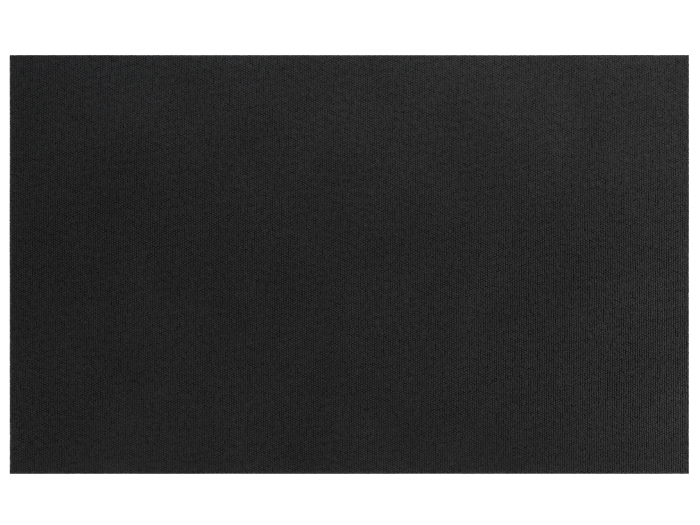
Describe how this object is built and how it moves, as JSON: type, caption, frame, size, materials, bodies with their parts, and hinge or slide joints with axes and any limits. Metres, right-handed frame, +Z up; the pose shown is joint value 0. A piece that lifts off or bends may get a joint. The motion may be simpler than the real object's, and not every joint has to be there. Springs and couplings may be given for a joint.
{
  "type": "door mat",
  "caption": "Thin flat rectangular door mat with a fine black loop pile, square cut edges and no border.",
  "frame": {"origin": "middle of the underside, on the floor", "axes": "+X along the long side, +Y along the tufted rows, which is the short side, +Z up out of the pile"},
  "size_m": [0.762, 0.47, 0.006],
  "materials": {
    "backing_rubber": "matt black sheet rubber with a fine pebbled grain",
    "dry_latex": "dull dark latex, dried around the feet of the loops",
    "woven_cloth": "plain woven black tape yarn",
    "pile_yarn": "matt black bulked yarn in low loops"
  },
  "bodies": {
    "root": {"rubber_backing": "backing_rubber", "latex_coat": "dry_latex", "backing_cloth": "woven_cloth", "loop_pile": "pile_yarn"}
  },
  "joints": []
}
